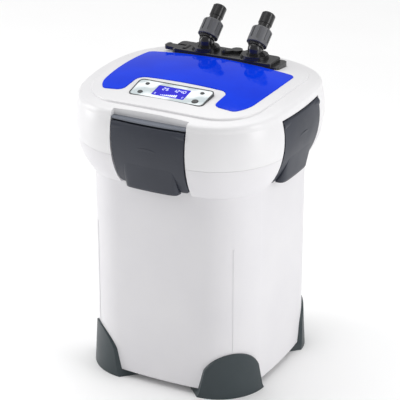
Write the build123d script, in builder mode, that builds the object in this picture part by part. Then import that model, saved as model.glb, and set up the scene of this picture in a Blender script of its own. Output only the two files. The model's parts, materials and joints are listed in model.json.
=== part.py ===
"""External canister filter: hollow canister, pump head, twin hose taps, four over-head clips.

Frame: origin under the middle of the four feet, +X to the right, +Y to the back, +Z up.
The control panel faces -Y. Every length is in millimetres.
"""
from build123d import *
from math import asin, atan2, cos, degrees, radians, sin, sqrt
import os

os.makedirs("parts", exist_ok=True)

# ---- plan outline of the canister: four shallow side arcs and four tangent corner arcs ----
wall_half = 119.2        # half width of the straight canister wall
side_bow = 640.0         # radius of the shallow side arcs at the wall
corner_r = 62.0          # corner radius at the wall
wall_t = 3.2             # canister wall thickness

# ---- heights ----
foot_h = 8.0             # canister underside above the ground
floor_t = 4.0            # canister floor thickness
collar_z0 = 280.0        # lower edge of the bulging collar
rim_z = 323.0            # top of the canister rim
seat_z = 312.0           # seal seat inside the rim
head_z0 = 323.3          # lower edge of the head
crease_z = 371.0         # end of the bulge, start of the rounded shoulder

# ---- bulge: one arc in section, shared by canister collar, head and clips ----
overhang = 26.8          # largest half width beyond the wall
bulge_max = wall_half + overhang
bulge_z = 345.0          # height of the largest half width
bulge_r = 99.1           # section radius of the bulge
head_bow = 450.0         # the head is rounder in plan: side arc radius at the largest half width
head_corner = 95.0       # corner radius at the largest half width
bulge_reach = bulge_max + 19.0   # well outside the bulge

# ---- domed top of the head ----
crown_r = 700.0          # arch radius along Y
dome_r = 900.0           # arch radius along X
crown_y = 0.0            # Y of the highest point
crown_z = 398.5          # height of the highest point
shoulder_drop = 2.6      # shoulder surface below the plateau surface
shoulder_r = 6.5         # rounding of the shoulder
plateau_half = bulge_max - 24.0  # half width of the raised plateau
roof_t = 8.0             # head roof thickness under the shoulder surface

# ---- seal and base plate ----
seal_out = bulge_max - 15.4
seal_in = seal_out - 6.0
seal_h = 4.0
base_out = seal_out - 0.2
base_t = 10.0
cavity_half = bulge_max - 25.0   # half width of the hollow inside the head
skirt_half = seal_in - 5.6       # locating skirt under the base plate
screw_at = cavity_half - 29.0
screw_r = 1.7
screw_top = 340.0
fit_gap = 0.4            # assembly clearance between moulded parts

# ---- clips ----
clip_half_top = 51.0
clip_half_low = 48.4
clip_t = 3.6
clip_proud = 0.4         # clip face outside the collar
clip_low_z = collar_z0 + 4.0
clip_gap = 0.4           # clip to collar
clip_side = 1.4          # clip to bay side
pin_u = bulge_max - 8.8  # hinge pin distance from the middle axis
pin_z = 363.7
pin_r = 2.0
pin_over = 6.0           # pin end length held in the head
knuckle_r = 6.0
bay_top_z = 371.8        # roof of the hinge pocket
run_gap = 0.05           # radial running clearance
bay_mid_z = (rim_z + head_z0) / 2 + 1.85  # a height halfway up the clip
bay_step = 1.2           # bay floor outside the canister wall
keeper_z = clip_low_z + 5.3      # underside of the keeper edge that the hook grips
hook_gap = 0.3
hook_u = wall_half + 2.3         # hook tip distance from the middle axis
lip_half = 32.0          # half width of the finger pull
lip_z = (clip_low_z - 2, clip_low_z + 7, clip_low_z + 8, clip_low_z + 19)  # heights of its profile

# ---- control panel ----
panel_y = -80.0
panel_tilt = 12.0        # slope of the panel toward the front
panel_low = 50.2         # half width at the front edge
panel_high = 51.3        # half width at the back edge
panel_len = 35.0
panel_t = 3.0
panel_up = 0.6           # face above the panel plane
border_w = 1.5
border_up = 0.9
lcd_w = 45.5
lcd_h = 23.0
key_x = 38.5
key_y = 10.0
key_gap = 0.3
key_travel = 0.7
key_stem_r = 1.5
board_drop = 14.0

# ---- glossy cover ----
cover_half = 108.0
cover_back = 55.5
cover_front = -90.0
cover_notch = 63.5
cover_notch_y = -47.5
cover_sink = 2.2
cover_up = 0.8
cover_gap = 0.25

# ---- hose taps ----
port_x = (-32.0, 39.0)
port_y = 74.7
tap_names = ("left", "right")
block_z0 = 388.5
block_z1 = 400.0
block_x0 = -75.3
block_x1 = 70.0
block_tab = 79.0
block_half = 17.2
tier_r = (18.6, 17.4)
tier_h = (2.4, 2.0)
stem_r = 9.25
stem_bottom = 391.0
stem_flange_r = 10.8
stem_flange_t = 1.5
elbow_z = 411.4
nozzle_back = 45.0       # nozzle lean from the vertical
nozzle_side = 4.0        # nozzle swivel toward +X
nozzle_r = 8.4
bore_r = 6.5
nut_s = (6.0, 28.5)      # distance of the nut ends from the elbow centre
nut_r = 13.8
barb_s = (35.5, 51.5)
barb_r = 9.3
ring_z = 397.0           # stem O-ring
ring_r = 0.9
riser_r = 11.0
riser_bore = 8.5

tube_low = 18.0          # lower end of the intake tube

# ---- cord gland ----
gland_x = 80.0
gland_z = 345.0
gland_r = 7.0
gland_bore = 3.6
gland_cut = (12.0, 4.5)   # its hole runs this far past its inner and outer end
gland_y = (cavity_half - 9.0, bulge_max - 0.5)

# ---- levers ----
lock_x = -58.0
lock_y = 69.0
lock_z = 397.8
lock_r = 3.5
lock_end = -88.0
lock_half = 7.0
lock_pin_r = 1.3
lock_pin_over = 3.5
flow_x = 10.0
flow_y = 81.7
flow_r = 7.5
flow_stud_r = 3.0
flow_h = 3.6

# ---- pump ----
chamber_r = 31.0
chamber_z = (290.0, 304.0)
hub_r = 50.0
well_r = 13.5
well_top = 350.0
can_r = 15.5
stator_r = 35.0
stator_h = 34.0
rotor_r = 12.4
rotor_z = (306.5, 342.0)
blade_r = 27.0
blade_h = 9.0
blade_t = 2.0
blade_n = 6
shaft_r = 2.0
bush_r = 4.5
bush_h = 6.0
cover_t = 3.0

# ---- baskets ----
basket_gap = 4.0         # basket to canister wall
basket_half = wall_half - wall_t - basket_gap
basket_h = 84.0
basket_t = 2.4
basket_floor = 3.0
basket_z0 = 16.0
basket_names = ("lower", "middle", "upper")
pad_names = ("foam_coarse", "foam_medium", "wool_fine")
pad_h = 58.0

bulge_u = bulge_max - bulge_r


def ring(half, round_share=0.0):
    """Bowed rounded square: canister outline at share 0, the rounder head outline at share 1."""
    bow = (side_bow - wall_half) * (1 - round_share) + (head_bow - bulge_max) * round_share + half
    corner = (corner_r - wall_half) * (1 - round_share) + (head_corner - bulge_max) * round_share + half
    off = bow - half
    span = bow - corner
    k = (-2 * off + sqrt(4 * off * off - 8 * (off * off - span * span))) / 4
    turn = degrees(atan2(k, k + off))
    with BuildSketch() as face:
        with BuildLine():
            for q in range(4):
                a = 90.0 * q
                ca = cos(radians(a))
                sa = sin(radians(a))
                CenterArc((-off * ca, -off * sa), bow, a - turn, 2 * turn)
                CenterArc((k * ca - k * sa, k * sa + k * ca), corner, a + turn, 90 - 2 * turn)
        make_face()
    return face.sketch


def slab(half, z, round_share=0.0):
    """Outline of one half width, placed at height z."""
    return ring(half, round_share).moved(Location((0, 0, z)))


def bulge(z, grow=0.0):
    """Half width of the bulge at height z, grown outward by grow."""
    return bulge_u + sqrt((bulge_r + grow) ** 2 - (z - bulge_z) ** 2)


def crown(y, drop=0.0):
    """Height of the crowned top at y, lowered by drop."""
    return crown_z - crown_r + sqrt((crown_r - drop) ** 2 - (y - crown_y) ** 2)


def dome(drop):
    """Solid under the domed top lowered by drop: the arch along Y turned about a low axis along Y."""
    low = crown_z - dome_r
    ends = [(y, crown(y, drop) - low) for y in (-170, 0, 170)]
    with BuildPart() as body:
        with BuildSketch(Plane(origin=(0, 0, low), x_dir=(0, 1, 0), z_dir=(-1, 0, 0))):
            with BuildLine():
                ThreePointArc(*ends)
                Polyline(ends[2], (170, 0), (-170, 0), ends[0])
            make_face()
        revolve(axis=Axis((0, 0, low), (0, 1, 0)))
    return body.part


def side_plane(k):
    """Upright section plane of side k (0 front, 1 right, 2 back, 3 left): local x points outward."""
    a = radians(90.0 * k - 90.0)
    return Plane(origin=(0, 0, 0), x_dir=(cos(a), sin(a), 0), z_dir=(sin(a), -cos(a), 0))


def face_plane(angle, distance):
    """Upright plane that faces outward at an angle, a distance from the middle axis."""
    a = radians(angle)
    return Plane(origin=(distance * cos(a), distance * sin(a), 0), x_dir=(-sin(a), cos(a), 0),
                 z_dir=(cos(a), sin(a), 0))


def bow_plane(k, turn):
    """Section plane of side k turned about the centre of the side's bow."""
    a = radians(90.0 * k - 90.0)
    t = a + radians(turn)
    off = head_bow - bulge_max
    return Plane(origin=(off * (cos(t) - cos(a)), off * (sin(t) - sin(a)), 0),
                 x_dir=(cos(t), sin(t), 0), z_dir=(sin(t), -cos(t), 0))


def bow_axis(k):
    """Upright axis through the centre of the bow of side k."""
    a = radians(90.0 * k - 90.0)
    off = head_bow - bulge_max
    return Axis((-off * cos(a), -off * sin(a), 0), (0, 0, 1))


def on_arc(rad, z):
    """Distance from the middle axis of a section arc of the bulge at height z."""
    return bulge_u + sqrt(rad ** 2 - (z - bulge_z) ** 2)


def bay_section():
    """Section of the curved bay that the clip lies in, with the space for its hook."""
    rad = bulge_r + clip_proud - clip_t - clip_gap
    top_z = pin_z - knuckle_r - clip_gap
    low = on_arc(rad, keeper_z)
    with BuildSketch() as face:
        with BuildLine():
            ThreePointArc((low, keeper_z), (on_arc(rad, bay_mid_z), bay_mid_z), (on_arc(rad, top_z), top_z))
            Polyline((on_arc(rad, top_z), top_z), (bulge_reach, top_z), (bulge_reach, collar_z0 - 10),
                     (wall_half + bay_step, collar_z0 - 10), (wall_half + bay_step, keeper_z),
                     (low, keeper_z))
        make_face()
    return face.sketch


def pocket_section(top_z):
    """Section of the straight pocket around the hinge, up to a roof height."""
    floor_z = pin_z - knuckle_r - clip_gap
    inner = pin_u - knuckle_r - clip_gap
    with BuildSketch() as face:
        with BuildLine():
            Polyline((inner, floor_z), (bulge_reach, floor_z), (bulge_reach, top_z), (inner, top_z),
                     close=True)
        make_face()
    return face.sketch


def cover_outline(grow=0.0):
    """Saddle outline of the glossy cover: two lobes either side of the control panel."""
    with BuildSketch() as face:
        add(ring(cover_half + grow))
        with Locations((0, cover_back + grow)):
            Rectangle(400, 400, align=(Align.CENTER, Align.MIN), mode=Mode.SUBTRACT)
        with Locations((0, cover_front - grow)):
            Rectangle(400, 400, align=(Align.CENTER, Align.MAX), mode=Mode.SUBTRACT)
        with Locations((0, cover_notch_y - grow)):
            Rectangle(2 * (cover_notch - grow), 200, align=(Align.CENTER, Align.MAX), mode=Mode.SUBTRACT)
        fillet(face.vertices().filter_by_position(Axis.Y, cover_notch_y - grow - 0.1,
                                                  cover_notch_y - grow + 0.1), 11 + grow)
        fillet(face.vertices().filter_by_position(Axis.Y, cover_front - grow - 0.1,
                                                  cover_front - grow + 0.1), 9 + grow)
        fillet(face.vertices().filter_by_position(Axis.Y, cover_back + grow - 0.1,
                                                  cover_back + grow + 0.1), 8 + grow)
    return face.sketch


def panel_outline(grow=0.0):
    """Rounded trapezoid of the control panel, wider at its back edge."""
    half = panel_len / 2
    with BuildSketch() as face:
        with BuildLine():
            Polyline((-panel_low, -half), (panel_low, -half), (panel_high, half),
                     (-panel_high, half), close=True)
        make_face()
        fillet(face.vertices(), 5)
        if grow:
            offset(amount=grow)
    return face.sketch


panel_plane = Plane(origin=(0, panel_y, crown(panel_y)), x_dir=(1, 0, 0),
                    z_dir=(0, -sin(radians(panel_tilt)), cos(radians(panel_tilt))))
keys = {
    "key_top_left": (-key_x, key_y, 2.6),
    "key_top_right": (key_x, key_y, 2.6),
    "key_low_left": (-key_x, -key_y, 3.2),
    "key_low_right": (key_x, -key_y, 4.2),
}
sides = ("front", "right", "back", "left")
corners = {"front_right": -45.0, "back_right": 45.0, "back_left": 135.0, "front_left": -135.0}


def keep(block, name):
    """Name a finished sub-part and write it out."""
    block.part.label = name
    export_step(block.part, "parts/" + name + ".step")


# ---- canister ----
bay_turn = degrees(asin((clip_half_top + clip_side) / head_bow))
rib_z = (64.0, 209.0)
corner_reach = wall_half + 20.0  # wall surface on the diagonal
collar_steps = (0.0, 11.0, 22.0, 33.0, rim_z - collar_z0)
support_span = 120.0     # spacing of the pads under the lowest basket
inner_half = wall_half - wall_t
with BuildPart() as canister:
    extrude(slab(wall_half, foot_h), amount=rim_z - foot_h)
    fillet(canister.faces().sort_by(Axis.Z)[0].edges(), 4)
    loft([slab(bulge(collar_z0 + step), collar_z0 + step, step / (rim_z - collar_z0))
          for step in collar_steps])
    extrude(slab(inner_half, foot_h + floor_t), amount=400, mode=Mode.SUBTRACT)
    loft([slab(inner_half, collar_z0 + 8), slab(seal_in - fit_gap, seat_z)], mode=Mode.SUBTRACT)
    extrude(slab(seal_out + fit_gap, seat_z), amount=50, mode=Mode.SUBTRACT)
    for k in range(4):
        with BuildSketch(bow_plane(k, -bay_turn)):
            add(bay_section())
        revolve(axis=bow_axis(k), revolution_arc=2 * bay_turn, mode=Mode.SUBTRACT)
    # low rib on every corner
    for a in corners.values():
        with BuildSketch(face_plane(a, corner_reach - 2)):
            with Locations((0, (rib_z[0] + rib_z[1]) / 2)):
                SlotOverall(rib_z[1] - rib_z[0], 3.0, rotation=90)
        extrude(amount=2.6)
    # pads that carry the lowest basket
    with BuildSketch(Plane.XY.offset(foot_h + floor_t)):
        with GridLocations(support_span, support_span, 2, 2):
            Circle(9)
    extrude(amount=basket_z0 - foot_h - floor_t)
keep(canister, "canister")

# ---- feet ----
foot_top = 62.0
foot_wrap = 6.0
foot_flare = 3.2
for name, a in corners.items():
    with BuildPart() as foot:
        extrude(slab(wall_half + foot_wrap, 0), amount=foot_top + 5, taper=foot_flare)
        extrude(slab(wall_half, foot_h), amount=foot_top, mode=Mode.SUBTRACT)
        extrude(slab(wall_half - 16, 0), amount=foot_h, mode=Mode.SUBTRACT)
        with BuildSketch(face_plane(a, 90.0)):
            with BuildLine():
                Polyline((-46, 0), (46, 0), (43, 7), (37, 38))
                ThreePointArc((37, 38), (0, foot_top), (-37, 38))
                Polyline((-37, 38), (-43, 7), (-46, 0))
            make_face()
        extrude(amount=90, mode=Mode.INTERSECT)
    keep(foot, "foot_" + name)

# ---- head ----
top_dome = dome(0)
shoulder_dome = dome(shoulder_drop)
roof_dome = dome(shoulder_drop + roof_t)
sink_dome = dome(cover_sink)
cover_dome = dome(-cover_up)
with BuildPart() as cavity:
    extrude(slab(cavity_half, head_z0), amount=110)
    add(roof_dome, mode=Mode.INTERSECT)

with BuildPart() as cover_pocket:
    with BuildSketch(Plane.XY.offset(crease_z)):
        add(cover_outline(cover_gap))
    extrude(amount=50)
    add(sink_dome, mode=Mode.SUBTRACT)

with BuildPart() as plateau:
    extrude(slab(plateau_half, crease_z), amount=50)
    add(top_dome, mode=Mode.INTERSECT)
    fillet(plateau.faces().sort_by(Axis.Z)[-1].edges(), 2.2)

base_top = seat_z + seal_h + base_t
with BuildPart() as head_housing:
    with BuildSketch(Plane.XY.offset(crease_z)):
        add(ring(bulge(crease_z), 1.0))
    extrude(amount=60, taper=5)
    add(shoulder_dome, mode=Mode.INTERSECT)
    fillet(head_housing.faces().sort_by(Axis.Z)[-1].edges(), shoulder_r)
    loft([slab(bulge(z), z, 1.0) for z in (head_z0, head_z0 + 11.7, bulge_z, bulge_z + 13.0, crease_z)])
    add(plateau.part)
    add(cavity.part, mode=Mode.SUBTRACT)
    extrude(slab(base_out + fit_gap, head_z0 - 1), amount=base_top - head_z0 + 1, mode=Mode.SUBTRACT)
    add(cover_pocket.part, mode=Mode.SUBTRACT)
    for k in range(4):
        with BuildSketch(bow_plane(k, -bay_turn)):
            add(bay_section())
        revolve(axis=bow_axis(k), revolution_arc=2 * bay_turn, mode=Mode.SUBTRACT)
        with BuildSketch(side_plane(k)):
            add(pocket_section(bay_top_z if k else 440.0))
        extrude(amount=clip_half_top + clip_side, both=True, mode=Mode.SUBTRACT)
        with BuildSketch(side_plane(k)):
            with Locations((pin_u, pin_z)):
                Circle(pin_r)
        extrude(amount=clip_half_top + clip_side + pin_over, both=True, mode=Mode.SUBTRACT)
    # bosses for the control board, recess and key guides of the panel
    with BuildSketch(panel_plane.offset(-board_drop)):
        with GridLocations(86, 36, 2, 2):
            Circle(3)
    extrude(amount=board_drop - 5)
    with BuildSketch(panel_plane.offset(panel_up - panel_t)):
        add(panel_outline(border_w + 0.15))
    extrude(amount=12, mode=Mode.SUBTRACT)
    with BuildSketch(panel_plane.offset(panel_up - panel_t)):
        for x, y, r in keys.values():
            with Locations((x, y)):
                Circle(key_stem_r + run_gap)
        Rectangle(24, 3)
    extrude(amount=-(shoulder_drop + roof_t + 0.5), mode=Mode.SUBTRACT)
    # seat of the tap block, with the two riser openings through the roof
    with BuildSketch(Plane.XY.offset(block_z0)):
        with Locations(((block_x0 + block_tab) / 2, port_y)):
            RectangleRounded(block_tab - block_x0 + 0.6, 2 * block_half + 0.6, 7.3)
    extrude(amount=20, mode=Mode.SUBTRACT)
    with BuildSketch(Plane.XY.offset(block_z0 + 1)):
        for x in port_x:
            with Locations((x, port_y)):
                Circle(riser_r + 0.2)
    extrude(amount=-12, mode=Mode.SUBTRACT)
    # screw bosses on the cavity wall
    with BuildSketch(Plane.XY.offset(base_top)):
        with GridLocations(2 * screw_at + 8, 2 * screw_at + 8, 2, 2):
            Circle(12)
    extrude(amount=18)
    with BuildSketch(Plane.XY.offset(base_top)):
        with GridLocations(2 * screw_at, 2 * screw_at, 2, 2):
            Circle(screw_r)
    extrude(amount=screw_top - base_top, mode=Mode.SUBTRACT)
    # cord gland opening
    with BuildSketch(Plane.XZ.offset(-gland_y[1] - gland_cut[1])):
        with Locations((gland_x, gland_z)):
            Circle(gland_r)
    extrude(amount=gland_y[1] - gland_y[0] + sum(gland_cut), mode=Mode.SUBTRACT)
keep(head_housing, "head_housing")

# ---- head base with pump chamber ----
base_z0 = seat_z + seal_h
with BuildPart() as head_base:
    extrude(slab(base_out, base_z0), amount=base_t)
    extrude(slab(skirt_half, base_z0 - 8), amount=8)
    extrude(slab(skirt_half - 3, base_z0 - 8), amount=8, mode=Mode.SUBTRACT)
    with BuildSketch(Plane.XY.offset(chamber_z[0])):
        Circle(hub_r)
        with Locations((port_x[0], port_y)):
            Circle(riser_r + 5)
    extrude(amount=base_z0 - chamber_z[0])
    with BuildSketch(Plane.XY.offset(base_z0 - 10)):
        with Locations((port_x[1], port_y)):
            Circle(riser_r + 3)
    extrude(amount=10)
    with BuildSketch(Plane.XY.offset(base_top)):
        Circle(can_r)
    extrude(amount=well_top + 3 - base_top)
    with BuildSketch(Plane.XY.offset(chamber_z[0])):
        Circle(chamber_r)
    extrude(amount=chamber_z[1] - chamber_z[0], mode=Mode.SUBTRACT)
    with BuildSketch(Plane.XY.offset(chamber_z[1])):
        Circle(well_r)
    extrude(amount=well_top - bush_h - chamber_z[1], mode=Mode.SUBTRACT)
    with BuildSketch(Plane.XY.offset(well_top - bush_h)):
        Circle(bush_r)
    extrude(amount=bush_h, mode=Mode.SUBTRACT)
    with BuildSketch(Plane.XY.offset(chamber_z[0] + 3)):
        with Locations((port_x[0], port_y / 2 + 4)):
            Rectangle(14, port_y - 8)
    extrude(amount=9, mode=Mode.SUBTRACT)
    with BuildSketch(Plane.XY.offset(chamber_z[0] + 3)):
        with Locations((port_x[0], port_y)):
            Circle(riser_bore)
    extrude(amount=60, mode=Mode.SUBTRACT)
    with BuildSketch(Plane.XY.offset(base_z0)):
        with Locations((port_x[1], port_y)):
            Circle(riser_bore)
        with GridLocations(2 * screw_at, 2 * screw_at, 2, 2):
            Circle(screw_r + 0.2)
    extrude(amount=20, mode=Mode.SUBTRACT)
    with BuildSketch(Plane.XY.offset(base_z0 - 10)):
        with Locations((port_x[1], port_y)):
            Circle(riser_r)
    extrude(amount=10, mode=Mode.SUBTRACT)
keep(head_base, "head_base")

with BuildPart() as main_seal:
    extrude(slab(seal_out, seat_z), amount=seal_h)
    extrude(slab(seal_in, seat_z), amount=seal_h, mode=Mode.SUBTRACT)
keep(main_seal, "main_seal")

with BuildPart() as cover_screws:
    with BuildSketch(Plane.XY.offset(base_z0 - 2.5)):
        with GridLocations(2 * screw_at, 2 * screw_at, 2, 2):
            Circle(screw_r + 1.5)
            RegularPolygon(1.3, 6, mode=Mode.SUBTRACT)
    extrude(amount=2.5)
    with BuildSketch(Plane.XY.offset(base_z0 - 0.8)):
        with GridLocations(2 * screw_at, 2 * screw_at, 2, 2):
            Circle(screw_r)
    extrude(amount=screw_top - base_z0 - 0.5)
keep(cover_screws, "cover_screws")

# ---- glossy cover ----
with BuildPart() as blue_cover:
    with BuildSketch(Plane.XY.offset(crease_z)):
        add(cover_outline())
    extrude(amount=50)
    add(sink_dome, mode=Mode.SUBTRACT)
    add(cover_dome, mode=Mode.INTERSECT)
    fillet(blue_cover.faces().sort_by(Axis.Z)[-1].edges(), 0.6)
keep(blue_cover, "blue_cover")

# ---- control panel ----
with BuildPart() as panel_border:
    with BuildSketch(panel_plane.offset(panel_up - panel_t)):
        add(panel_outline(border_w))
        add(panel_outline(), mode=Mode.SUBTRACT)
    extrude(amount=panel_t - panel_up + border_up)
keep(panel_border, "panel_border")

with BuildPart() as display_faceplate:
    with BuildSketch(panel_plane.offset(panel_up - panel_t)):
        add(panel_outline())
        RectangleRounded(lcd_w, lcd_h, 1.6, mode=Mode.SUBTRACT)
        for x, y, r in keys.values():
            with Locations((x, y)):
                Circle(r + key_gap, mode=Mode.SUBTRACT)
    extrude(amount=panel_t)
keep(display_faceplate, "display_faceplate")

with BuildPart() as lcd_window:
    with BuildSketch(panel_plane.offset(panel_up - panel_t)):
        RectangleRounded(lcd_w - 0.2, lcd_h - 0.2, 1.5)
    extrude(amount=panel_t - 0.2)
    fillet(lcd_window.faces().sort_by(Axis.Z)[-1].edges(), 0.3)
keep(lcd_window, "lcd_window")

for name, (x, y, r) in keys.items():
    with BuildPart() as key:
        with BuildSketch(panel_plane.offset(panel_up + 0.7)):
            with Locations((x, y)):
                Circle(r)
        extrude(amount=-(panel_t - key_travel - 0.2 + 0.7))
        fillet(key.edges().filter_by(GeomType.CIRCLE).sort_by(panel_plane.location.z_axis)[-1], 0.4)
        with BuildSketch(panel_plane.offset(panel_up - panel_t + 1)):
            with Locations((x, y)):
                Circle(key_stem_r)
        extrude(amount=-(board_drop + panel_up - panel_t + 1 - key_travel - 0.2))
    keep(key, name)

with BuildPart() as control_board:
    with BuildSketch(panel_plane.offset(-board_drop)):
        RectangleRounded(96, 46, 3)
    extrude(amount=-1.6)
    with BuildSketch(panel_plane.offset(-board_drop - 1.6)):
        with GridLocations(30, 20, 2, 1):
            Rectangle(18, 12)
    extrude(amount=-4)
keep(control_board, "control_board")

# ---- clips and hinge pins ----
r_out = bulge_r + clip_proud
r_in = r_out - clip_t
clip_top_z = pin_z + knuckle_r
web_z = pin_z - knuckle_r + 1.0
web_u = pin_u + 3.0
lip_turn = degrees(asin(lip_half / head_bow))
low_out = on_arc(r_out, clip_low_z)
low_in = on_arc(r_in, clip_low_z)
hook_z = keeper_z - hook_gap
for k, side in enumerate(sides):
    with BuildPart() as clip:
        with BuildSketch(bow_plane(k, -bay_turn)) as plate:
            with BuildLine():
                ThreePointArc((low_out, clip_low_z), (on_arc(r_out, bay_mid_z), bay_mid_z),
                              (on_arc(r_out, clip_top_z), clip_top_z))
                Polyline((on_arc(r_out, clip_top_z), clip_top_z), (web_u, clip_top_z), (web_u, web_z),
                         (on_arc(r_in, web_z), web_z))
                ThreePointArc((on_arc(r_in, web_z), web_z), (on_arc(r_in, bay_mid_z), bay_mid_z),
                              (on_arc(r_in, hook_z), hook_z))
                Polyline((on_arc(r_in, hook_z), hook_z), (hook_u + 0.8, hook_z), (hook_u, hook_z - 0.8),
                         (hook_u, clip_low_z + 1.2), (low_in, clip_low_z), (low_out, clip_low_z))
            make_face()
            fillet(plate.vertices().sort_by(Axis((0, 0, 0), (1, 1, 0)))[-1], 2.6)
        revolve(axis=bow_axis(k), revolution_arc=2 * bay_turn)
        with BuildSketch(side_plane(k)):
            with Locations((pin_u, pin_z)):
                Circle(knuckle_r)
            with Locations((pin_u, pin_z)):
                Rectangle(3.2, knuckle_r, align=(Align.MIN, Align.MIN))
        extrude(amount=clip_half_top, both=True)
        with BuildSketch(face_plane(90.0 * k - 90.0, 110)) as front:
            with BuildLine():
                Polyline((-clip_half_low, clip_low_z), (clip_half_low, clip_low_z),
                         (clip_half_top, clip_top_z - 8), (clip_half_top, clip_top_z + 1),
                         (-clip_half_top, clip_top_z + 1), (-clip_half_top, clip_top_z - 8), close=True)
            make_face()
            fillet(front.vertices().group_by(Axis.Y)[0], 5)
        extrude(amount=50, mode=Mode.INTERSECT)
        # finger pull
        with BuildSketch(bow_plane(k, -lip_turn)):
            with BuildLine():
                Polyline((on_arc(r_out, lip_z[3]) - 0.6, lip_z[3]), (on_arc(r_out, lip_z[1]) + 1.6, lip_z[1]),
                         (low_out + 3.2, clip_low_z), (low_out + 2.6, lip_z[0]), (low_out - 1.6, lip_z[0]),
                         (low_in + 1.5, clip_low_z + 1), (on_arc(r_in, lip_z[2]) + 1.0, lip_z[2]), close=True)
            make_face()
        revolve(axis=bow_axis(k), revolution_arc=2 * lip_turn)
        with BuildSketch(side_plane(k)):
            with Locations((pin_u, pin_z)):
                Circle(pin_r + run_gap)
        extrude(amount=clip_half_top + 1, both=True, mode=Mode.SUBTRACT)
    keep(clip, "clip_" + side)

    with BuildPart() as clip_pin:
        with BuildSketch(side_plane(k)):
            with Locations((pin_u, pin_z)):
                Circle(pin_r)
        extrude(amount=clip_half_top + clip_side + pin_over, both=True)
    keep(clip_pin, "clip_pin_" + side)

# ---- cord gland ----
with BuildPart() as cord_gland:
    with BuildSketch(Plane.XZ.offset(-gland_y[0])):
        with Locations((gland_x, gland_z)):
            Circle(gland_r)
            Circle(gland_bore, mode=Mode.SUBTRACT)
    extrude(amount=-(gland_y[1] - gland_y[0]))
keep(cord_gland, "cord_gland")

# ---- tap block ----
with BuildPart() as tap_block:
    with BuildSketch(Plane.XY.offset(block_z0)):
        with Locations(((block_x0 + block_x1) / 2, port_y)):
            RectangleRounded(block_x1 - block_x0, 2 * block_half, 7)
    extrude(amount=block_z1 - block_z0)
    fillet(tap_block.faces().sort_by(Axis.Z)[-1].edges(), 1.5)
    with BuildSketch(Plane.XY.offset(block_z0)):
        with Locations(((block_x0 + block_tab) / 2 + 40, port_y)):
            RectangleRounded(block_tab - block_x0 - 80, 2 * block_half, 7)
    extrude(amount=block_z1 - block_z0 - 4.5)
    for x in port_x:
        with BuildSketch(Plane.XY.offset(block_z1)):
            with Locations((x, port_y)):
                Circle(tier_r[0])
        extrude(amount=tier_h[0])
        with BuildSketch(Plane.XY.offset(block_z1 + tier_h[0])):
            with Locations((x, port_y)):
                Circle(tier_r[1])
        extrude(amount=tier_h[1])
    with BuildSketch(Plane.XY.offset(block_z0)):
        for x in port_x:
            with Locations((x, port_y)):
                Circle(stem_r + run_gap)
    extrude(amount=40, mode=Mode.SUBTRACT)
    # slot and pin holes of the lock lever
    with BuildSketch(Plane.XY.offset(lock_z - lock_r - 0.5)):
        with Locations((block_x0 - 1, lock_y)):
            Rectangle(lock_x + lock_r + 0.5 - block_x0 + 1, 2 * lock_half + 1,
                      align=(Align.MIN, Align.CENTER))
    extrude(amount=20, mode=Mode.SUBTRACT)
    with BuildSketch(Plane.XZ.offset(-lock_y)):
        with Locations((lock_x, lock_z)):
            Circle(lock_pin_r)
    extrude(amount=lock_half + lock_pin_over, both=True, mode=Mode.SUBTRACT)
    with BuildSketch(Plane.XY.offset(block_z1)):
        with Locations((flow_x, flow_y)):
            Circle(flow_stud_r + run_gap)
    extrude(amount=-7.5, mode=Mode.SUBTRACT)
keep(tap_block, "tap_block")

with BuildPart() as lock_lever:
    with BuildSketch(Plane.XZ.offset(-lock_y)):
        with BuildLine():
            Polyline((lock_x, lock_z - 3), (lock_end + 2, lock_z - 3), (lock_end, lock_z - 1),
                     (lock_end, lock_z + 2.4), (lock_end + 3, lock_z + 2.4), (lock_end + 6, lock_z + 1.4),
                     (lock_x, lock_z + 1.4), close=True)
        make_face()
        with Locations((lock_x, lock_z)):
            Circle(lock_r)
    extrude(amount=lock_half, both=True)
    fillet(lock_lever.edges().filter_by(Axis.Z).sort_by(Axis.X)[:2], 4)
    with BuildSketch(Plane.XZ.offset(-lock_y)):
        with Locations((lock_x, lock_z)):
            Circle(lock_pin_r + run_gap)
    extrude(amount=lock_half + 1, both=True, mode=Mode.SUBTRACT)
keep(lock_lever, "lock_lever")

with BuildPart() as lock_pin:
    with BuildSketch(Plane.XZ.offset(-lock_y)):
        with Locations((lock_x, lock_z)):
            Circle(lock_pin_r)
    extrude(amount=lock_half + lock_pin_over, both=True)
keep(lock_pin, "lock_pin")

flow_turn = 225.0
flow_reach = 18.0
with BuildPart() as flow_lever:
    with BuildSketch(Plane.XY.offset(block_z1)):
        with Locations((flow_x, flow_y)):
            Circle(flow_r)
    extrude(amount=flow_h)
    with BuildSketch(Plane.XY.offset(block_z1 + 0.4)):
        with Locations(Location((flow_x, flow_y), flow_turn)):
            with Locations((flow_reach / 2, 0)):
                SlotOverall(flow_reach + 7, 7)
    extrude(amount=flow_h - 0.4)
    with Locations((flow_x + flow_reach * cos(radians(flow_turn)),
                    flow_y + flow_reach * sin(radians(flow_turn)), block_z1 + flow_h)):
        Sphere(3)
    with BuildSketch(Plane.XY.offset(block_z1)):
        with Locations((flow_x, flow_y)):
            Circle(flow_stud_r)
    extrude(amount=-7)
keep(flow_lever, "flow_lever")

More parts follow.
